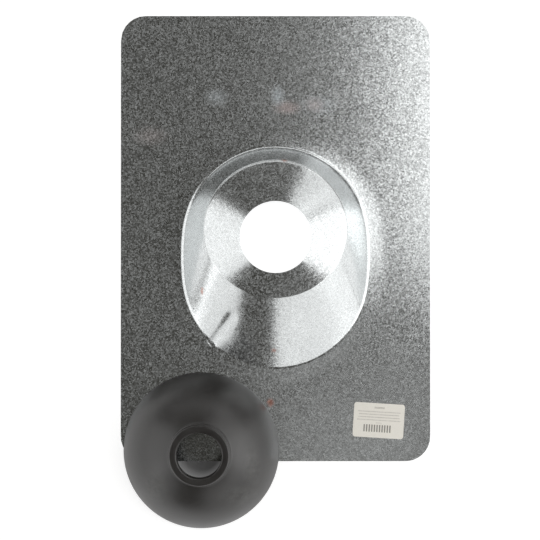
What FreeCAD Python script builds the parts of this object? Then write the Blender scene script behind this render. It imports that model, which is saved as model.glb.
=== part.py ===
import FreeCAD, Part
import math
import os

# Pipe flashing boot for a sloping roof: a galvanised steel base plate with a drawn dome, the loose
# rubber collar that seals the pipe to it, and a paper label on the plate.
#
# Millimetres. The origin is on the axis of the pipe hole, in the plane of the plate's underside, which
# lies on the roof. +Z is that plane's outward normal, along the pipe hole. +Y points up the slope.

# Base plate: one pressed sheet
SHEET_THICKNESS = 0.55
PLATE_WIDTH = 317.5
PLATE_LENGTH = 457.2
PLATE_CORNER_RADIUS = 25.4
# How far up the slope the pipe hole's axis is from the middle of the plate
HOLE_OFF_CENTRE = 0.0

# Dome, measured on the sheet's outer face. Its foot is an oval: two equal half circles, the upper one
# round the pipe hole, joined by nearly straight sides down the slope.
FOOT_RADIUS = 93.0
FOOT_SIDE_LENGTH = 40.0
# How softly the half circles run into the sides, as the sine of the angle over which they do
FOOT_SIDE_BLEND = 0.1
FOOT_BEND_RADIUS = 6.0

# The crease is where the dome's walls meet its shallow conical crown.
CREASE_HALF_WIDTH = 72.0
CREASE_UPSLOPE_REACH = 78.0
CREASE_DOWNSLOPE_REACH = 61.0
CREASE_BEND_RADIUS = 5.0
CROWN_SLOPE_DEG = 22.0
PIPE_HOLE_RADIUS = 36.0

# Rubber collar: a spherical skirt that fits under the dome, with a short neck for the pipe
COLLAR_RIM_RADIUS = 80.0
# Height of the sphere's top over the rim
SKIRT_RISE = 58.4
SKIRT_THICKNESS = 3.0
RIM_CHAMFER = 0.8
NECK_RADIUS = 29.4
NECK_HEIGHT = 13.0
NECK_BEAD_PROUD = 1.9
NECK_BEAD_HEIGHT = 1.2
NECK_LIP_PROUD = 0.6
NECK_LIP_HEIGHT = 4.5
NECK_LIP_EDGE_RADIUS = 1.2
PIPE_BORE_RADIUS = 22.5
BORE_LEAD_IN = 1.6

# The loose collar stands on the sheet's lower left, this far from the dome's bend
COLLAR_TO_LEFT = 76.0
COLLAR_TO_DOME_GAP = 14.0

# Paper label, stuck to the sheet at its lower right, a little askew
LABEL_WIDTH = 52.0
LABEL_HEIGHT = 35.4
LABEL_THICKNESS = 0.12
LABEL_CORNER_RADIUS = 2.8
LABEL_TURN_DEG = -3.5
LABEL_FROM_RIGHT_EDGE = 52.8
LABEL_FROM_LOWER_EDGE = 41.6

# Points round each oval curve. The sheet is made of narrow strips between such curves: this many across
# each bend, and across each straight part.
CURVE_STATIONS = 32
BEND_FACETS = 3
STRAIGHT_STRIPS = 4
# How far the crown runs into the pipe hole before the hole is punched
PUNCH_MARGIN = 6.0
# Straight facets across each small round of the collar, and across the inside of its skirt
ROUND_FACETS = 2
SKIRT_INSIDE_FACETS = 4

VERTICAL = FreeCAD.Vector(0, 0, 1)
# The skirt's outer sphere passes through the rim and its own top.
SKIRT_SPHERE_RADIUS = (COLLAR_RIM_RADIUS**2 + SKIRT_RISE**2) / (2 * SKIRT_RISE)
SKIRT_CENTRE_HEIGHT = SKIRT_RISE - SKIRT_SPHERE_RADIUS


def sphere_height(distance):
    """Height of the skirt's outer sphere over the collar's rim plane, at a distance from its axis."""
    return SKIRT_CENTRE_HEIGHT + math.sqrt(SKIRT_SPHERE_RADIUS**2 - distance**2)


def crown_height(distance):
    """Height of the crown's outer face at a distance from the hole's axis.

    In use the hole's edge seats on the collar's skirt, with the collar's rim on the roof.
    """
    slope = math.radians(CROWN_SLOPE_DEG)
    edge_height = sphere_height(PIPE_HOLE_RADIUS) + SHEET_THICKNESS / math.cos(slope)
    return edge_height - (distance - PIPE_HOLE_RADIUS) * math.tan(slope)


# The dome's curves are all measured by the direction that they face, seen from above: 0 faces +X and a
# quarter turn faces up the slope. Points of two curves that face the same way are joined by a straight
# line of the sheet, as in a sheet that is bent and not stretched.


def foot_point(facing):
    """The foot of the dome, where the wall would meet the flat sheet if it had no bend."""
    down = -math.sin(facing)
    blend = math.hypot(down, FOOT_SIDE_BLEND)
    reach = FOOT_RADIUS + FOOT_SIDE_LENGTH * (down + blend) / 2
    reach_change = -math.cos(facing) * FOOT_SIDE_LENGTH * (1 + down / blend) / 2
    x = reach * math.cos(facing) - reach_change * math.sin(facing)
    y = reach * math.sin(facing) + reach_change * math.cos(facing)
    return FreeCAD.Vector(x, y, SHEET_THICKNESS)


def crease_point(facing):
    """The crease: an oval in a plane that drops toward the upslope side."""
    half_length = (CREASE_UPSLOPE_REACH + CREASE_DOWNSLOPE_REACH) / 2
    across = CREASE_HALF_WIDTH * math.cos(facing)
    along = half_length * math.sin(facing)
    size = math.hypot(across, along)
    x = CREASE_HALF_WIDTH * across / size
    y = half_length * along / size + CREASE_UPSLOPE_REACH - half_length
    low = crown_height(CREASE_UPSLOPE_REACH)
    high = crown_height(CREASE_DOWNSLOPE_REACH)
    upslope_share = (y + CREASE_DOWNSLOPE_REACH) / (2 * half_length)
    return FreeCAD.Vector(x, y, high + (low - high) * upslope_share)


def crown_point(facing, depth):
    """A ring on the crown inside the pipe hole, in the metal that the punch takes away."""
    radius = PIPE_HOLE_RADIUS - PUNCH_MARGIN
    drop = depth / math.cos(math.radians(CROWN_SLOPE_DEG))
    x = radius * math.cos(facing)
    y = radius * math.sin(facing)
    return FreeCAD.Vector(x, y, crown_height(radius) - drop)


def normal_along(point_at, facing, toward):
    """The upward normal of the surface that holds a curve's tangent and the line toward a point."""
    step = 0.001
    tangent = point_at(facing + step) - point_at(facing - step)
    normal = tangent.cross(toward - point_at(facing))
    normal.normalize()
    return normal if normal.z > 0 else -normal


def normal_between(first, second, share):
    """The normal that lies a share of the way round a bend from the first normal to the second."""
    turn = math.acos(first.dot(second))
    return (first * math.sin((1 - share) * turn) + second * math.sin(share * turn)) / math.sin(turn)


def foot_bend_point(facing, share, depth):
    """The foot's bend, from the flat sheet (share 0) to the wall (share 1), with its centre above."""
    wall = normal_along(foot_point, facing, crease_point(facing))
    to_centre = (VERTICAL + wall) * (FOOT_BEND_RADIUS / (1 + VERTICAL.dot(wall)))
    normal = normal_between(VERTICAL, wall, share)
    return foot_point(facing) + to_centre - normal * (FOOT_BEND_RADIUS + depth)


def crease_bend_point(facing, share, depth):
    """The crease's bend, from the wall (share 0) to the crown (share 1), with its centre below."""
    wall = normal_along(crease_point, facing, foot_point(facing))
    crown = normal_along(crease_point, facing, crown_point(facing, 0))
    to_centre = (wall + crown) * (-CREASE_BEND_RADIUS / (1 + wall.dot(crown)))
    normal = normal_between(wall, crown, share)
    return crease_point(facing) + to_centre + normal * (CREASE_BEND_RADIUS - depth)


def foot_bend_end(facing, depth):
    """Where the foot's bend runs out into the wall."""
    return foot_bend_point(facing, 1, depth)


def crease_bend_start(facing, depth):
    """Where the wall runs into the crease's bend."""
    return crease_bend_point(facing, 0, depth)


def crease_bend_end(facing, depth):
    """Where the crease's bend runs out into the crown."""
    return crease_bend_point(facing, 1, depth)


def closed_curve(point_at):
    """A smooth closed wire that starts on the upslope side, in the dome's plane of symmetry."""
    stations = [station / CURVE_STATIONS for station in range(CURVE_STATIONS + 1)]
    points = [point_at(math.pi * (0.5 + 2 * station)) for station in stations[:-1]]
    curve = Part.BSplineCurve()
    curve.interpolate(Points=points, PeriodicFlag=True, Parameters=stations)
    return Part.Wire([curve.toShape()])


def bend_curves(bend_point, depth):
    """Closed curves side by side across a bend."""
    shares = [facet / BEND_FACETS for facet in range(BEND_FACETS + 1)]
    return [closed_curve(lambda facing: bend_point(facing, share, depth)) for share in shares]


def straight_curves(from_point, to_point, depth):
    """Closed curves side by side across a straight part of the sheet, between its two ends."""
    shares = [strip / STRAIGHT_STRIPS for strip in range(1, STRAIGHT_STRIPS)]
    return [
        closed_curve(lambda facing: from_point(facing, depth) * (1 - share) + to_point(facing, depth) * share)
        for share in shares
    ]


def rounded_rectangle(width, height, corner_radius):
    """A wire in the XY plane, centred on the origin."""
    block = Part.makeBox(width, height, 1, FreeCAD.Vector(-width / 2, -height / 2, 0))
    uprights = [e for e in block.Edges if e.BoundBox.XLength + e.BoundBox.YLength < 0.001]
    rounded = block.makeFillet(corner_radius, uprights)
    return min(rounded.Faces, key=lambda face: face.CenterOfMass.z).OuterWire


def plate_outline(z):
    """The plate's outline at a height."""
    outline = rounded_rectangle(PLATE_WIDTH, PLATE_LENGTH, PLATE_CORNER_RADIUS)
    outline.translate(FreeCAD.Vector(0, -HOLE_OFF_CENTRE, z))
    return outline


def sheet_face(depth):
    """One face of the sheet before the hole is punched: outer at depth 0, inner at the thickness."""
    foot = bend_curves(foot_bend_point, depth)
    wall = straight_curves(foot_bend_end, crease_bend_start, depth)
    crease = bend_curves(crease_bend_point, depth)
    crown = straight_curves(crease_bend_end, crown_point, depth)
    crown_cap = closed_curve(lambda facing: crown_point(facing, depth))
    curves = [*foot, *wall, *crease, *crown, crown_cap]
    flat = Part.Face([plate_outline(SHEET_THICKNESS - depth), foot[0]])
    return [flat, Part.Face(crown_cap)] + Part.makeLoft(curves, False, True).Faces


def base_plate():
    """The drawn sheet, with the pipe hole punched straight through its crown."""
    sides = plate_outline(0).extrude(VERTICAL * SHEET_THICKNESS).Faces
    shell = Part.Shell(sheet_face(0) + sides + sheet_face(SHEET_THICKNESS))
    shell.sewShape()
    sheet = Part.Solid(shell)
    sheet.fix(0.001, 0.001, 0.001)
    punch = Part.makeCylinder(PIPE_HOLE_RADIUS, crown_height(0) + PUNCH_MARGIN)
    return sheet.cut(punch).Solids[0]


def at(radius, height):
    """A point of the collar's profile, in the plane that its axis lies in."""
    return FreeCAD.Vector(radius, 0, height)


def arc_points(centre, radius, from_angle, to_angle, facets):
    """The ends of straight facets that follow an arc of the profile."""
    angles = [from_angle + (to_angle - from_angle) * step / facets for step in range(facets + 1)]
    return [centre + at(math.cos(angle), math.sin(angle)) * radius for angle in angles]


def skirt_outside(from_radius, to_radius):
    """The outer sphere's arc between two distances from the collar's axis."""
    middle_radius = (from_radius + to_radius) / 2
    radii = [from_radius, middle_radius, to_radius]
    return Part.Arc(*[at(radius, sphere_height(radius)) for radius in radii]).toShape()


def skirt_inside():
    """The skirt's inner face, from the pipe's bore out to the rim."""
    radius = SKIRT_SPHERE_RADIUS - SKIRT_THICKNESS
    at_bore = math.acos(PIPE_BORE_RADIUS / radius)
    at_rim = math.asin(-SKIRT_CENTRE_HEIGHT / radius)
    return arc_points(at(0, SKIRT_CENTRE_HEIGHT), radius, at_bore, at_rim, SKIRT_INSIDE_FACETS)


def neck_outside():
    """The outside of the neck, from the skirt up: its rounded bead, its waist, and its thicker lip."""
    top = sphere_height(NECK_RADIUS) + NECK_HEIGHT
    bead_foot = at(NECK_RADIUS + NECK_BEAD_PROUD, sphere_height(NECK_RADIUS + NECK_BEAD_PROUD))
    bead_centre = at(NECK_RADIUS, bead_foot.z + NECK_BEAD_HEIGHT)
    lip_radius = NECK_RADIUS + NECK_LIP_PROUD
    lip_centre = at(lip_radius - NECK_LIP_EDGE_RADIUS, top - NECK_LIP_EDGE_RADIUS)
    return [
        bead_foot,
        *arc_points(bead_centre, NECK_BEAD_PROUD, 0, math.pi / 2, ROUND_FACETS),
        at(NECK_RADIUS, top - NECK_LIP_HEIGHT - NECK_LIP_PROUD),
        at(lip_radius, top - NECK_LIP_HEIGHT),
        *arc_points(lip_centre, NECK_LIP_EDGE_RADIUS, 0, math.pi / 2, ROUND_FACETS),
    ]


def rubber_collar():
    """The collar turned about its own axis, with its rim in the plane at zero."""
    rim_foot = at(COLLAR_RIM_RADIUS - RIM_CHAMFER, 0)
    rim_radius = COLLAR_RIM_RADIUS - RIM_CHAMFER / 2
    chamfer_top = at(rim_radius, sphere_height(rim_radius))
    neck = neck_outside()
    top = neck[-1].z
    bore = [at(PIPE_BORE_RADIUS + BORE_LEAD_IN, top), at(PIPE_BORE_RADIUS, top - BORE_LEAD_IN)]
    outline = Part.makePolygon([*neck, *bore, *skirt_inside(), rim_foot, chamfer_top])
    skirt = skirt_outside(rim_radius, neck[0].x)
    profile = Part.Face(Part.Wire([skirt] + outline.Edges))
    return profile.revolve(FreeCAD.Vector(0, 0, 0), VERTICAL, 360)


def standing_collar():
    """The collar where it stands on the sheet, beside the lower half circle of the dome's foot."""
    apart = FOOT_RADIUS + FOOT_BEND_RADIUS + COLLAR_TO_DOME_GAP + COLLAR_RIM_RADIUS
    down = FOOT_SIDE_LENGTH + math.sqrt(apart**2 - COLLAR_TO_LEFT**2)
    collar = rubber_collar()
    collar.translate(FreeCAD.Vector(-COLLAR_TO_LEFT, -down, SHEET_THICKNESS))
    return collar


def paper_label():
    """The label, flat on the sheet."""
    outline = rounded_rectangle(LABEL_WIDTH, LABEL_HEIGHT, LABEL_CORNER_RADIUS)
    label = Part.Face(outline).extrude(VERTICAL * LABEL_THICKNESS)
    label.rotate(FreeCAD.Vector(0, 0, 0), VERTICAL, LABEL_TURN_DEG)
    x = PLATE_WIDTH / 2 - LABEL_FROM_RIGHT_EDGE
    y = LABEL_FROM_LOWER_EDGE - PLATE_LENGTH / 2 - HOLE_OFF_CENTRE
    label.translate(FreeCAD.Vector(x, y, SHEET_THICKNESS))
    return label


os.makedirs("parts", exist_ok=True)
base_plate().exportStep("parts/base_plate.step")
standing_collar().exportStep("parts/rubber_collar.step")
paper_label().exportStep("parts/paper_label.step")
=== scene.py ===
import math

import bmesh
import bpy
import numpy as np
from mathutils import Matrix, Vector


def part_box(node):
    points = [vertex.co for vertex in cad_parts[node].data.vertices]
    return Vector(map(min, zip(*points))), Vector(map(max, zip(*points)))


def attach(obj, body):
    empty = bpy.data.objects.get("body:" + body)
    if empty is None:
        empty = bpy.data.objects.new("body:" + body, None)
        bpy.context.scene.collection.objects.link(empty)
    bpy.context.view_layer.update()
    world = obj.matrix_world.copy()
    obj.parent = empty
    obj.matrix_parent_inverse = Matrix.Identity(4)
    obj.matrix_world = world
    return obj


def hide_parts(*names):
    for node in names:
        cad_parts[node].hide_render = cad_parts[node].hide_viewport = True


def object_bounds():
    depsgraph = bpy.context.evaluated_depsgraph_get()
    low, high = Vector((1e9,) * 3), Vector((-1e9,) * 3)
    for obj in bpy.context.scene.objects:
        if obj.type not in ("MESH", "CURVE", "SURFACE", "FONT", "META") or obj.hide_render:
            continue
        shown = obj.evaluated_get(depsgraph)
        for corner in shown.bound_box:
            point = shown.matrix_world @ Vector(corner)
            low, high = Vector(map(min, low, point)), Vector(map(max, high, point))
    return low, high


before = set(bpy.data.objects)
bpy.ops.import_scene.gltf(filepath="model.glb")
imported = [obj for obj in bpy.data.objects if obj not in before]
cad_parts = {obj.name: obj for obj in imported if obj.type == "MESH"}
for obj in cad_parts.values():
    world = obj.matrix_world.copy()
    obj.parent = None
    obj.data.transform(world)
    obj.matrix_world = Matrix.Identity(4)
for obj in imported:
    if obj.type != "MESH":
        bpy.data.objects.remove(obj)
cad_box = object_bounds()


# ---------------------------------------------------------------------------------------------
# Base plate: one sheet of hot-dip galvanised steel, a little over half a millimetre thick. A press
# draws its oval dome in one stroke, with a soft bend all round the foot and another where the walls
# meet the shallow crown, and a last stroke punches the pipe hole and trims the rounded outline.
# ---------------------------------------------------------------------------------------------

plate_low, plate_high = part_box("base_plate")
label_low, label_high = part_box("paper_label")
sheet_thickness = label_low.z - plate_low.z
half_width = (plate_high.x - plate_low.x) / 2
half_length = (plate_high.y - plate_low.y) / 2

CORNER_RADIUS = 0.0254
FOOT_RADIUS = 0.093
FOOT_SIDE_LENGTH = 0.040
FOOT_SIDE_BLEND = 0.1
FOOT_BEND_RADIUS = 0.006
CREASE_HALF_WIDTH = 0.072
CREASE_UPSLOPE_REACH = 0.078
CREASE_DOWNSLOPE_REACH = 0.061
CREASE_BEND_RADIUS = 0.005
CROWN_SLOPE = math.radians(22)
HOLE_RADIUS = 0.036
# The highest line of the sheet is the upper edge of the hole.
hole_edge_height = plate_high.z - plate_low.z

FACINGS = 256
BEND_STEPS = 8
WALL_STEPS = 24
CROWN_STEPS = 12

facing = math.pi / 2 + 2 * math.pi * np.arange(FACINGS) / FACINGS


def crown_height(distance):
    """Height of the crown's outer face, at a distance from the hole's axis."""
    return hole_edge_height - (distance - HOLE_RADIUS) * math.tan(CROWN_SLOPE)


def foot_curve(angle):
    """Where the wall would meet the flat sheet if it had no bend, by the direction it faces."""
    down = -np.sin(angle)
    blended = np.hypot(down, FOOT_SIDE_BLEND)
    reach = FOOT_RADIUS + FOOT_SIDE_LENGTH * (down + blended) / 2
    change = -np.cos(angle) * FOOT_SIDE_LENGTH * (1 + down / blended) / 2
    x = reach * np.cos(angle) - change * np.sin(angle)
    y = reach * np.sin(angle) + change * np.cos(angle)
    return np.stack([x, y, np.full_like(x, sheet_thickness)], axis=1)


def crease_curve(angle):
    """Where the wall would meet the crown: an oval that drops toward the upslope side."""
    half = (CREASE_UPSLOPE_REACH + CREASE_DOWNSLOPE_REACH) / 2
    across, along = CREASE_HALF_WIDTH * np.cos(angle), half * np.sin(angle)
    size = np.hypot(across, along)
    x = CREASE_HALF_WIDTH * across / size
    y = half * along / size + CREASE_UPSLOPE_REACH - half
    low, high = crown_height(CREASE_UPSLOPE_REACH), crown_height(CREASE_DOWNSLOPE_REACH)
    return np.stack([x, y, high + (low - high) * (y + CREASE_DOWNSLOPE_REACH) / (2 * half)], axis=1)


def unit(rows):
    """Rows of vectors, each brought to length one."""
    return rows / np.linalg.norm(rows, axis=1, keepdims=True)


def dot(first, second):
    """Row by row product of two sets of vectors."""
    return (first * second).sum(axis=1, keepdims=True)


def upward_normal(curve, toward):
    """The normal of the sheet that runs from a curve toward matching points."""
    step = 0.001
    tangent = curve(facing + step) - curve(facing - step)
    normal = unit(np.cross(tangent, toward - curve(facing)))
    return normal * np.sign(normal[:, 2:3])


def turned(first, second, share):
    """Normals a share of the way round a bend."""
    turn = np.arccos(np.clip(dot(first, second), -1, 1))
    return (first * np.sin((1 - share) * turn) + second * np.sin(share * turn)) / np.sin(turn)


foot, crease = foot_curve(facing), crease_curve(facing)
flat_normal = np.tile([0.0, 0.0, 1.0], (FACINGS, 1))
wall_normal = upward_normal(foot_curve, crease)
crown_start = HOLE_RADIUS - 0.006
crown_inside = np.column_stack([
    crown_start * np.cos(facing),
    crown_start * np.sin(facing),
    np.full(FACINGS, crown_height(crown_start)),
])
crown_normal = upward_normal(crease_curve, crown_inside)

foot_turn = 1 + dot(flat_normal, wall_normal)
crease_turn = 1 + dot(wall_normal, crown_normal)
foot_centre = foot + (flat_normal + wall_normal) * FOOT_BEND_RADIUS / foot_turn
crease_centre = crease - (wall_normal + crown_normal) * CREASE_BEND_RADIUS / crease_turn


def at_hole(outer, inner):
    """Where lines of the crown cross the punched hole's wall."""
    run = inner[:, :2] - outer[:, :2]
    a = (run**2).sum(axis=1)
    b = 2 * (outer[:, :2] * run).sum(axis=1)
    c = (outer[:, :2] ** 2).sum(axis=1) - HOLE_RADIUS**2
    share = (-b - np.sqrt(b**2 - 4 * a * c)) / (2 * a)
    return outer + (inner - outer) * share[:, None]


def at_outline(points):
    """Where lines from the dome's middle through points cross the rounded outline of the plate."""
    middle = np.array([0.0, -FOOT_SIDE_LENGTH / 2])
    away = unit(points[:, :2] - middle)
    edge = np.array([half_width, half_length])
    corner = edge - CORNER_RADIUS
    reach = np.min((edge - np.sign(away) * middle) / np.maximum(np.abs(away), 1e-9), axis=1)
    found = middle + away * reach[:, None]
    past = (np.abs(found) > corner).all(axis=1)
    centre = np.sign(away) * corner
    offset = middle - centre
    along = (offset * away).sum(axis=1)
    round_reach = -along + np.sqrt(np.maximum(along**2 - (offset**2).sum(axis=1) + CORNER_RADIUS**2, 0))
    return np.where(past[:, None], middle + away * round_reach[:, None], found)


# Handling marks: where each starts and ends, its width and its depth, which is below nothing for a ridge.
DENTS = [
    ((-0.0650, -0.1070), (-0.0460, -0.0810), 0.0050, 0.0011),
    ((0.0740, -0.0420), (0.0850, -0.0660), 0.0040, -0.0005),
]


def dented(points):
    """The sheet with the two marks that handling has left in the dome: a valley and a faint ridge."""
    moved = points.copy()
    for start, end, width, depth in DENTS:
        start, end = np.array(start), np.array(end)
        run = end - start
        share = np.clip(((points[:, :2] - start) @ run) / (run @ run), 0, 1)
        apart = np.linalg.norm(points[:, :2] - start - share[:, None] * run, axis=1)
        moved[:, 2] -= depth * np.exp(-((apart / width) ** 2)) * (points[:, 2] > 2 * sheet_thickness)
    return moved


FLANGE_RINGS = 5
# The draw has pulled the flange up a little in a shallow dish round the foot.
DISH_RISE = 0.0006
DISH_REACH = 0.018
DISH_RINGS = 8


def sheet_face(depth):
    """The rings of one face of the sheet, from its outline to the hole, at a depth below the outer face."""
    rings = []
    for step in range(BEND_STEPS + 1):
        normal = turned(flat_normal, wall_normal, step / BEND_STEPS)
        rings.append(foot_centre - normal * (FOOT_BEND_RADIUS + depth))
    wall_end = crease_centre + wall_normal * (CREASE_BEND_RADIUS - depth)
    for step in range(1, WALL_STEPS):
        rings.append(rings[BEND_STEPS] + (wall_end - rings[BEND_STEPS]) * step / WALL_STEPS)
    for step in range(BEND_STEPS + 1):
        normal = turned(wall_normal, crown_normal, step / BEND_STEPS)
        rings.append(crease_centre + normal * (CREASE_BEND_RADIUS - depth))
    crown_end = at_hole(rings[-1], crown_inside - crown_normal * depth)
    crown_begin = rings[-1]
    for step in range(1, CROWN_STEPS + 1):
        rings.append(crown_begin + (crown_end - crown_begin) * step / CROWN_STEPS)
    for ring in rings:
        ring[:, 2] += DISH_RISE * np.exp((sheet_thickness - depth - ring[:, 2]) / FOOT_BEND_RADIUS)
    foot_line = np.column_stack([rings[0][:, :2], np.full(FACINGS, sheet_thickness - depth)])
    outline = np.column_stack([at_outline(foot_line), foot_line[:, 2]])
    dish_edge = foot_line + unit(outline - foot_line) * DISH_REACH
    flange = [outline + (dish_edge - outline) * step / FLANGE_RINGS for step in range(FLANGE_RINGS)]
    for step in range(DISH_RINGS):
        share = step / DISH_RINGS
        rise = np.array([0, 0, DISH_RISE * share**2])
        flange.append(dish_edge + (foot_line - dish_edge) * share + rise)
    return [dented(ring) for ring in flange + rings]


outer = sheet_face(0.0)
inner = sheet_face(sheet_thickness)
rings = outer + inner[::-1]
corners = np.concatenate(rings) + np.array([0, 0, plate_low.z])
quads = []
for ring in range(len(rings)):
    here, there = ring * FACINGS, (ring + 1) % len(rings) * FACINGS
    for station in range(FACINGS):
        beside = (station + 1) % FACINGS
        quads.append((here + station, here + beside, there + beside, there + station))
drawn_sheet = bpy.data.meshes.new("drawn_sheet")
drawn_sheet.from_pydata(corners.tolist(), [], quads)


def smooth_but_for_edges(mesh):
    """Turns every face outward and shades the mesh smooth, but for its sharp edges."""
    form = bmesh.new()
    form.from_mesh(mesh)
    bmesh.ops.recalc_face_normals(form, faces=form.faces)
    for face in form.faces:
        face.smooth = True
    for edge in form.edges:
        edge.smooth = edge.calc_face_angle(0) < math.radians(35)
    form.to_mesh(mesh)
    form.free()


smooth_but_for_edges(drawn_sheet)
base_plate = bpy.data.objects.new("drawn_sheet", drawn_sheet)
bpy.context.scene.collection.objects.link(base_plate)


def new_material(name):
    """A material with only its shader and output, ready for more nodes."""
    material = bpy.data.materials.new(name)
    material.use_nodes = True
    return material, material.node_tree.nodes, material.node_tree.links


def feed(links, socket, value):
    """Gives a socket a number, a colour, or another socket's result."""
    if isinstance(value, bpy.types.NodeSocket):
        links.new(value, socket)
    elif isinstance(value, tuple) and len(value) < len(socket.default_value):
        socket.default_value = (*value, 1)
    else:
        socket.default_value = value


def sums(nodes, links, how, first, second):
    """Joins two values in one sum."""
    node = nodes.new("ShaderNodeMath")
    node.operation = how
    feed(links, node.inputs[0], first)
    feed(links, node.inputs[1], second)
    return node.outputs["Value"]


def vector_sums(nodes, links, how, first, second):
    """Joins two vectors in one sum."""
    node = nodes.new("ShaderNodeVectorMath")
    node.operation = how
    feed(links, node.inputs[0], first)
    feed(links, node.inputs[1], second)
    return node.outputs["Vector"]


def spread(nodes, links, value, least, most, low, high):
    """Moves a value from one range to another."""
    node = nodes.new("ShaderNodeMapRange")
    feed(links, node.inputs["Value"], value)
    for name, limit in (("From Min", least), ("From Max", most), ("To Min", low), ("To Max", high)):
        node.inputs[name].default_value = limit
    return node.outputs["Result"]


def tinted(nodes, links, share, under, over, how="MIX"):
    """Lays one colour over another by a share."""
    node = nodes.new("ShaderNodeMix")
    node.data_type = "RGBA"
    node.blend_type = how
    feed(links, node.inputs[0], share)
    feed(links, node.inputs[6], under)
    feed(links, node.inputs[7], over)
    return node.outputs[2]


def clouds(nodes, links, place, per_metre, detail=2.0, roughness=0.5):
    """Soft variation, with its features counted to the metre."""
    node = nodes.new("ShaderNodeTexNoise")
    node.inputs["Scale"].default_value = per_metre
    node.inputs["Detail"].default_value = detail
    node.inputs["Roughness"].default_value = roughness
    links.new(place, node.inputs["Vector"])
    return node


def lump(nodes, links, place, centre, reach):
    """One where a place is at a centre, falling to nothing at a reach across and along."""
    offset = vector_sums(nodes, links, "SUBTRACT", place, centre)
    scaled = vector_sums(nodes, links, "DIVIDE", offset, (*reach, 1000.0))
    node = nodes.new("ShaderNodeVectorMath")
    node.operation = "LENGTH"
    links.new(scaled, node.inputs[0])
    return spread(nodes, links, node.outputs["Value"], 1.0, 0.25, 0.0, 1.0)


GRAINS_PER_METRE = 760
FROST_PER_METRE = 1500
CLOUDS_PER_METRE = 30
GRAIN_LEAN = (0.038, 0.038, 0.038)
FROST_LEAN = (0.025, 0.025, 0.025)
LEAST_GRAIN_TONE = 0.86
LEAST_CLOUD_TONE = 0.92
# The dullest grain's share of plain diffuse light, and how fast the share falls over the others.
DULLEST_GRAIN = 0.38
DULL_FALL = 1.7
SMEAR_DULLNESS = 0.35
SMOOTHEST_GRAIN = 0.15
ROUGHEST_GRAIN = 0.24
# How far the edges of the marks wander, and how finely.
MARK_WANDER = 0.006
WANDER_PER_METRE = 420
ZINC = (0.785, 0.81, 0.815)
# Rust specks and dull smears: the middle of each, its reach across and along, its colour, its strength.
RUST = (0.55, 0.17, 0.09)
PINK = (0.80, 0.64, 0.62)
PALE = (0.74, 0.80, 0.84)
MARKS = [
    ((-0.0747, -0.0539), (0.0020, 0.0045), RUST, 0.55),
    ((-0.0018, -0.1145), (0.0034, 0.0028), RUST, 0.60),
    ((-0.0051, -0.1686), (0.0050, 0.0062), RUST, 0.75),
    ((0.0089, 0.0780), (0.0040, 0.0018), RUST, 0.55),
    ((0.0120, 0.1345), (0.0180, 0.0090), PINK, 0.60),
    ((0.0025, 0.1466), (0.0090, 0.0130), PALE, 0.80),
    ((-0.0606, 0.1450), (0.0160, 0.0110), PALE, 0.50),
    ((0.0440, 0.1370), (0.0230, 0.0130), PALE, 0.45),
    ((0.0400, 0.1370), (0.0130, 0.0100), PINK, 0.35),
    ((-0.1280, 0.1050), (0.0220, 0.0130), PINK, 0.30),
]

zinc, nodes, links = new_material("galvanised_zinc")
shader = nodes["Principled BSDF"]
place = nodes.new("ShaderNodeTexCoord").outputs["Object"]
grains = nodes.new("ShaderNodeTexVoronoi")
grains.inputs["Scale"].default_value = GRAINS_PER_METRE
links.new(place, grains.inputs["Vector"])
grain_parts = nodes.new("ShaderNodeSeparateColor")
links.new(grains.outputs["Color"], grain_parts.inputs["Color"])
frost = clouds(nodes, links, place, FROST_PER_METRE, 3, 0.7)
cloudy = clouds(nodes, links, place, CLOUDS_PER_METRE, 3, 0.55)

# Each grain reflects a little to its own side, so the sheet glitters where light and dark meet.
lean = vector_sums(nodes, links, "SUBTRACT", grains.outputs["Color"], (0.5, 0.5, 0.5))
frost_lean = vector_sums(nodes, links, "SUBTRACT", frost.outputs["Color"], (0.5, 0.5, 0.5))
lean = vector_sums(nodes, links, "MULTIPLY", lean, GRAIN_LEAN)
frost_lean = vector_sums(nodes, links, "MULTIPLY", frost_lean, FROST_LEAN)
normal = nodes.new("ShaderNodeNewGeometry").outputs["Normal"]
normal = vector_sums(nodes, links, "ADD", normal, vector_sums(nodes, links, "ADD", lean, frost_lean))
node = nodes.new("ShaderNodeVectorMath")
node.operation = "NORMALIZE"
links.new(normal, node.inputs[0])
links.new(node.outputs["Vector"], shader.inputs["Normal"])

grain_tone = spread(nodes, links, grain_parts.outputs["Red"], 0, 1, LEAST_GRAIN_TONE, 1.0)
cloud_tone = spread(nodes, links, cloudy.outputs["Fac"], 0.3, 0.7, LEAST_CLOUD_TONE, 1.0)
tone = sums(nodes, links, "MULTIPLY", grain_tone, cloud_tone)
zinc_colour = tinted(nodes, links, 1.0, ZINC, tone, "MULTIPLY")
wander = clouds(nodes, links, place, WANDER_PER_METRE, 4, 0.65).outputs["Color"]
ragged = vector_sums(nodes, links, "MULTIPLY", wander, (MARK_WANDER, MARK_WANDER, 0))
ragged = vector_sums(nodes, links, "ADD", place, ragged)
ragged = vector_sums(nodes, links, "SUBTRACT", ragged, (MARK_WANDER / 2, MARK_WANDER / 2, 0))
dull = sums(nodes, links, "POWER", grain_parts.outputs["Blue"], DULL_FALL)
dull = sums(nodes, links, "MULTIPLY", dull, DULLEST_GRAIN)
for centre, reach, colour, strength in MARKS:
    share = lump(nodes, links, ragged, (*centre, 0), reach)
    share = sums(nodes, links, "MULTIPLY", share, strength)
    zinc_colour = tinted(nodes, links, share, zinc_colour, colour)
    dull = sums(nodes, links, "ADD", dull, sums(nodes, links, "MULTIPLY", share, SMEAR_DULLNESS))
links.new(zinc_colour, shader.inputs["Base Color"])
links.new(sums(nodes, links, "SUBTRACT", 1.0, dull), shader.inputs["Metallic"])
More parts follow.
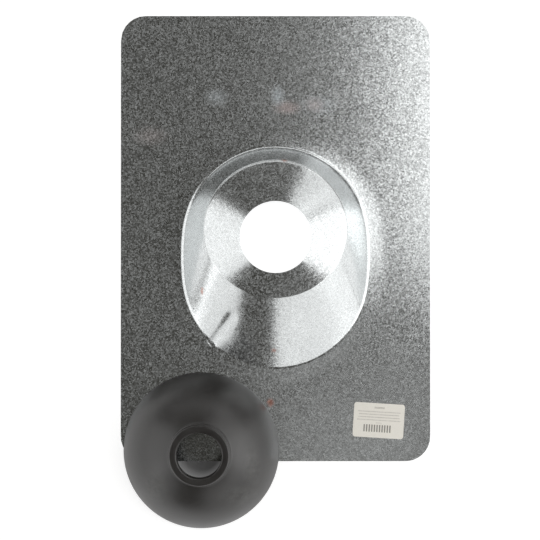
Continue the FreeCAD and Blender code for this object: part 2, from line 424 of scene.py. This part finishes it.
# The skin of oxide holds the sheen down where the sheet is seen at a low angle.
shader.inputs["Specular Tint"].default_value = (0.76, 0.76, 0.76, 1)
roughness = spread(nodes, links, grain_parts.outputs["Green"], 0, 1, SMOOTHEST_GRAIN, ROUGHEST_GRAIN)
links.new(roughness, shader.inputs["Roughness"])
drawn_sheet.materials.append(zinc)
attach(base_plate, "root")
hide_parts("base_plate")


# ---------------------------------------------------------------------------------------------
# Rubber collar: one moulding in soft black rubber. Its domed skirt seats under the hole's edge and its
# short neck, narrower than the pipe, stretches over it. It leaves the mould matt, with a grey bloom,
# and handling has scuffed the skirt.
# ---------------------------------------------------------------------------------------------

collar_low, collar_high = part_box("rubber_collar")
collar_middle = (collar_low + collar_high) / 2
RIM_RADIUS = 0.080
SKIRT_RISE = 0.0584
SKIRT_WALL = 0.003
NECK_RADIUS = 0.0294
BEAD_PROUD = 0.0019
BEAD_HEIGHT = 0.0012
LIP_PROUD = 0.0006
LIP_HEIGHT = 0.0045
LIP_ROUND = 0.0012
BORE_RADIUS = 0.0225
LEAD_IN = 0.0016
WAIST_GROOVE = 0.00025
GROOVE_HALF_HEIGHT = 0.0004
TURNS = 192

neck_top = collar_high.z - collar_low.z
skirt_sphere = (RIM_RADIUS**2 + SKIRT_RISE**2) / (2 * SKIRT_RISE)
skirt_centre = SKIRT_RISE - skirt_sphere


def skirt_height(distance, sphere=skirt_sphere):
    """Height of the skirt over the rim, at a distance from the collar's axis."""
    return skirt_centre + math.sqrt(sphere**2 - distance**2)


def skirt_line(sphere, start, end, steps):
    """Points along the skirt's section between two distances from its axis."""
    angles = np.linspace(math.acos(start / sphere), math.acos(end / sphere), steps)
    return [(sphere * math.cos(angle), skirt_centre + sphere * math.sin(angle)) for angle in angles]


def round_line(middle, radius, start, end, steps=6):
    """Points along a small round of the section."""
    angles = np.radians(np.linspace(start, end, steps))
    return [(middle[0] + radius * math.cos(angle), middle[1] + radius * math.sin(angle)) for angle in angles]


inner_sphere = skirt_sphere - SKIRT_WALL
rim_inside = math.sqrt(inner_sphere**2 - skirt_centre**2)
bead_foot = skirt_height(NECK_RADIUS + BEAD_PROUD)
lip_radius = NECK_RADIUS + LIP_PROUD
waist_low = bead_foot + BEAD_HEIGHT + BEAD_PROUD
waist_high = neck_top - LIP_HEIGHT - LIP_PROUD
section = [(RIM_RADIUS - 0.0008, 0.0), (RIM_RADIUS - 0.0003, 0.0002)]
section += skirt_line(skirt_sphere, RIM_RADIUS - 0.0002, NECK_RADIUS + BEAD_PROUD + 0.0006, 44)
section += [(NECK_RADIUS + BEAD_PROUD, bead_foot + 0.0006)]
section += round_line((NECK_RADIUS, bead_foot + BEAD_HEIGHT), BEAD_PROUD, 0, 84)
for share in (0.25, 0.6):
    ring = waist_low + (waist_high - waist_low) * share
    section += [(NECK_RADIUS, ring - GROOVE_HALF_HEIGHT), (NECK_RADIUS - WAIST_GROOVE, ring)]
    section += [(NECK_RADIUS, ring + GROOVE_HALF_HEIGHT)]
section += [(NECK_RADIUS, waist_high), (lip_radius, neck_top - LIP_HEIGHT)]
section += round_line((lip_radius - LIP_ROUND, neck_top - LIP_ROUND), LIP_ROUND, 0, 90)
section += round_line((BORE_RADIUS + LEAD_IN, neck_top - LEAD_IN), LEAD_IN, 90, 180)
section += [(BORE_RADIUS, skirt_height(BORE_RADIUS, inner_sphere))]
section += skirt_line(inner_sphere, BORE_RADIUS + 0.0004, rim_inside, 36)

corners = []
for radius, height in section:
    turn = 2 * math.pi * np.arange(TURNS) / TURNS
    corners.append(np.stack([radius * np.cos(turn), radius * np.sin(turn), np.full(TURNS, height)], axis=1))
corners = np.concatenate(corners) + np.array([collar_middle.x, collar_middle.y, collar_low.z])
quads = []
for ring in range(len(section)):
    here, there = ring * TURNS, (ring + 1) % len(section) * TURNS
    for station in range(TURNS):
        beside = (station + 1) % TURNS
        quads.append((here + station, here + beside, there + beside, there + station))
moulding = bpy.data.meshes.new("moulded_collar")
moulding.from_pydata(corners.tolist(), [], quads)
smooth_but_for_edges(moulding)
collar = bpy.data.objects.new("moulded_collar", moulding)
bpy.context.scene.collection.objects.link(collar)

# Pale scuffs where the skirt has rubbed: the middle of each, and its reach across and along.
SCUFFS = [
    ((0.040, -0.043), (0.024, 0.014)),
    ((0.052, -0.012), (0.012, 0.026)),
    ((-0.046, -0.034), (0.016, 0.022)),
]
BARE_RUBBER = (0.011, 0.009, 0.008)
BLOOMED_RUBBER = (0.020, 0.018, 0.016)
SCUFFED_RUBBER = (0.13, 0.13, 0.12)

rubber, nodes, links = new_material("moulded_rubber")
shader = nodes["Principled BSDF"]
place = nodes.new("ShaderNodeTexCoord").outputs["Object"]
bloom = clouds(nodes, links, place, 26, 4, 0.6).outputs["Fac"]
pores = clouds(nodes, links, place, 1300, 4, 0.65).outputs["Fac"]
rubbed = clouds(nodes, links, place, 90, 6, 0.75).outputs["Fac"]
bloom_share = spread(nodes, links, bloom, 0.35, 0.7, 0, 1)
rubber_colour = tinted(nodes, links, bloom_share, BARE_RUBBER, BLOOMED_RUBBER)
scuffed = 0.0
for (x, y), reach in SCUFFS:
    share = lump(nodes, links, place, (collar_middle.x + x, collar_middle.y + y, 0), reach)
    scuffed = sums(nodes, links, "MAXIMUM", share, scuffed)
scuffed = sums(nodes, links, "MULTIPLY", scuffed, spread(nodes, links, rubbed, 0.35, 0.80, 0, 0.5))
rubber_colour = tinted(nodes, links, scuffed, rubber_colour, SCUFFED_RUBBER)
links.new(rubber_colour, shader.inputs["Base Color"])
links.new(spread(nodes, links, bloom, 0.3, 0.7, 0.34, 0.44), shader.inputs["Roughness"])
shader.inputs["Specular IOR Level"].default_value = 0.85
bump = nodes.new("ShaderNodeBump")
bump.inputs["Strength"].default_value = 0.25
bump.inputs["Distance"].default_value = 0.0002
links.new(pores, bump.inputs["Height"])
links.new(bump.outputs["Normal"], shader.inputs["Normal"])
moulding.materials.append(rubber)
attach(collar, "root")
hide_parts("rubber_collar")


# ---------------------------------------------------------------------------------------------
# Paper label: a die-cut rectangle of cream self-adhesive paper, smoothed onto the sheet by hand. Its
# print is plain bands and stripes in a worn grey ink.
# ---------------------------------------------------------------------------------------------

LABEL_TURN = math.radians(-3.5)
LABEL_WIDTH = 0.052
LABEL_HEIGHT = 0.0354
DARK_PAPER = (0.88, 0.85, 0.77)
PALE_PAPER = (0.93, 0.90, 0.83)
INK = (0.36, 0.33, 0.30)
DARK_INK = (0.10, 0.09, 0.08)
# Each band: its middle across and up, its width and height as shares of the label, its ink and strength.
BANDS = [
    ((0.00, 0.37), (0.20, 0.050), INK, 0.65),
    ((0.00, 0.25), (0.84, 0.030), INK, 0.50),
    ((0.00, 0.17), (0.80, 0.030), INK, 0.50),
    ((0.00, 0.09), (0.82, 0.030), INK, 0.50),
    ((0.00, 0.01), (0.86, 0.030), INK, 0.45),
    ((0.00, -0.07), (0.12, 0.025), INK, 0.40),
]
STRIPE_BLOCK = ((-0.03, -0.23), (0.56, 0.21))
STRIPES_ACROSS = 11

label_middle = (label_low + label_high) / 2
paper, nodes, links = new_material("label_paper")
shader = nodes["Principled BSDF"]
place = nodes.new("ShaderNodeTexCoord").outputs["Object"]
fibre = clouds(nodes, links, place, 900, 4, 0.6).outputs["Fac"]
worn = clouds(nodes, links, place, 650, 5, 0.7).outputs["Fac"]
fibre_share = spread(nodes, links, fibre, 0.3, 0.7, 0, 1)
paper_colour = tinted(nodes, links, fibre_share, DARK_PAPER, PALE_PAPER)
square = nodes.new("ShaderNodeMapping")
square.vector_type = "TEXTURE"
square.inputs["Location"].default_value = (label_middle.x, label_middle.y, 0)
square.inputs["Rotation"].default_value = (0, 0, LABEL_TURN)
square.inputs["Scale"].default_value = (LABEL_WIDTH, LABEL_HEIGHT, 1)
links.new(place, square.inputs["Vector"])
axes = nodes.new("ShaderNodeSeparateXYZ")
links.new(square.outputs["Vector"], axes.inputs["Vector"])


def inside_band(middle, size):
    """One inside a rectangle on the label, nothing outside it, with a soft printed edge."""
    shares = []
    for axis, centre, extent in (("X", middle[0], size[0]), ("Y", middle[1], size[1])):
        apart = sums(nodes, links, "SUBTRACT", axes.outputs[axis], centre)
        apart = sums(nodes, links, "ABSOLUTE", apart, 0.0)
        shares.append(spread(nodes, links, apart, extent / 2 + 0.004, extent / 2 - 0.004, 0, 1))
    return sums(nodes, links, "MULTIPLY", *shares)


ink_wear = spread(nodes, links, worn, 0.35, 0.55, 0.35, 1.0)
for middle, size, ink, strength in BANDS:
    share = sums(nodes, links, "MULTIPLY", inside_band(middle, size), ink_wear)
    paper_colour = tinted(nodes, links, sums(nodes, links, "MULTIPLY", share, strength), paper_colour, ink)
stripes = sums(nodes, links, "MULTIPLY", axes.outputs["X"], STRIPES_ACROSS / STRIPE_BLOCK[1][0])
stripes = sums(nodes, links, "PINGPONG", stripes, 0.5)
stripes = spread(nodes, links, stripes, 0.22, 0.28, 0, 1)
share = sums(nodes, links, "MULTIPLY", inside_band(*STRIPE_BLOCK), stripes)
paper_colour = tinted(nodes, links, sums(nodes, links, "MULTIPLY", share, 0.8), paper_colour, DARK_INK)
links.new(paper_colour, shader.inputs["Base Color"])
shader.inputs["Roughness"].default_value = 0.55
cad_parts["paper_label"].material_slots[0].material = paper


# ---------------------------------------------------------------------------------------------
# Studio: a white table top under the part, soft lamps round a dark ceiling for the bare metal to
# mirror, and a camera that looks almost straight down on the plate.
# ---------------------------------------------------------------------------------------------

TABLE_SIZE = 12.0
TABLE_GLOW = 0.72
HOLE_GLOW = 0.95
HOLE_GLOW_REACH = 1.6 * HOLE_RADIUS
COVERED_SHARE = 0.95
bpy.ops.mesh.primitive_plane_add(size=TABLE_SIZE, location=(0, 0, cad_box[0].z))
table = bpy.context.object
table.name = "table_top"
table_white, nodes, links = new_material("table_white")
shader = nodes["Principled BSDF"]
shader.inputs["Base Color"].default_value = (0.5, 0.5, 0.5, 1)
shader.inputs["Roughness"].default_value = 0.9
glow = nodes.new("ShaderNodeEmission")
place = nodes.new("ShaderNodeTexCoord").outputs["Object"]
# Under the plate's open hole the glow is stronger, which washes out the plate's own shadow there.
open_part = lump(nodes, links, place, (0, 0, 0), (HOLE_GLOW_REACH, HOLE_GLOW_REACH))
links.new(spread(nodes, links, open_part, 0, 1, TABLE_GLOW, HOLE_GLOW), glow.inputs["Strength"])
seen = nodes.new("ShaderNodeLightPath")
seen_share = sums(nodes, links, "MAXIMUM", seen.outputs["Is Camera Ray"], seen.outputs["Is Glossy Ray"])
seen_share = sums(nodes, links, "MAXIMUM", seen_share, seen.outputs["Is Transmission Ray"])
# The glow is masked under the closed skirt of the collar, where the table lies in shadow.
covered = lump(nodes, links, place, (collar_middle.x, collar_middle.y, 0), (RIM_RADIUS, RIM_RADIUS))
covered = sums(nodes, links, "MULTIPLY", covered, COVERED_SHARE)
seen_share = sums(nodes, links, "SUBTRACT", seen_share, covered)
both = nodes.new("ShaderNodeAddShader")
links.new(shader.outputs["BSDF"], both.inputs[0])
links.new(glow.outputs["Emission"], both.inputs[1])
shown = nodes.new("ShaderNodeMixShader")
links.new(seen_share, shown.inputs[0])
links.new(shader.outputs["BSDF"], shown.inputs[1])
links.new(both.outputs["Shader"], shown.inputs[2])
links.new(shown.outputs["Shader"], nodes["Material Output"].inputs["Surface"])
table.data.materials.append(table_white)

air = bpy.data.worlds.new("studio_air")
bpy.context.scene.world = air
air.use_nodes = True
air.node_tree.nodes["Background"].inputs["Color"].default_value = (0.038, 0.036, 0.030, 1)
air.node_tree.nodes["Background"].inputs["Strength"].default_value = 1.0


def soft_box(name, place, aim, width, height, radiance):
    """A rectangular lamp that faces a point, as bright as a white card lit to this level."""
    lamp = bpy.data.lights.new(name, "AREA")
    lamp.shape = "RECTANGLE"
    lamp.size = width
    lamp.size_y = height
    lamp.energy = radiance * math.pi * width * height
    holder = bpy.data.objects.new(name, lamp)
    holder.location = place
    holder.rotation_euler = (Vector(aim) - Vector(place)).to_track_quat("-Z", "Y").to_euler()
    bpy.context.scene.collection.objects.link(holder)


# Each lamp: its name, its place, the point it faces, its width and height, and its level.
LAMPS = [
    ("top_right", (0.70, 0.56, 1.70), (0.70, 0.56, 0), 0.90, 1.22, 1.7),
    ("low_middle", (0.16, -0.38, 1.70), (0.16, -0.38, 0), 0.40, 0.26, 0.28),
    ("back_right", (1.00, 1.05, 0.95), (0, 0, 0.1), 1.1, 0.9, 1.0),
    ("key_right", (1.25, -0.12, 1.10), (0, 0, 0), 1.4, 1.0, 1.45),
    ("wall_right", (1.40, -0.30, 0.62), (0, 0, 0.1), 2.0, 1.2, 1.30),
    ("back", (-0.25, 1.75, 0.82), (-0.25, 0, 0.1), 3.2, 0.55, 1.1),
    ("wall_left", (-1.40, -0.08, 0.88), (0, 0, 0.1), 1.8, 1.7, 1.30),
    ("front_left", (-1.08, -1.04, 0.46), (0, 0, 0.1), 0.84, 0.92, 1.00),
    ("front_right", (0.60, -1.50, 0.66), (0, 0, 0.1), 1.25, 1.0, 1.05),
]
for lamp_values in LAMPS:
    soft_box(*lamp_values)

CAMERA_DISTANCE = 1.9
CAMERA_ELEVATION = math.radians(89.4)
VIEW_WIDTH = 0.5546
SENSOR_WIDTH = 36
AIM = Vector((-0.0056, -0.0325, 0))
camera_data = bpy.data.cameras.new("camera")
camera_data.sensor_width = SENSOR_WIDTH
camera_data.lens = SENSOR_WIDTH * CAMERA_DISTANCE / VIEW_WIDTH
camera = bpy.data.objects.new("camera", camera_data)
toward_camera = Vector((0, -math.cos(CAMERA_ELEVATION), math.sin(CAMERA_ELEVATION)))
camera.location = AIM + CAMERA_DISTANCE * toward_camera
camera.rotation_euler = (AIM - camera.location).to_track_quat("-Z", "Y").to_euler()
bpy.context.scene.collection.objects.link(camera)
bpy.context.scene.camera = camera
bpy.context.scene.view_settings.view_transform = "Standard"
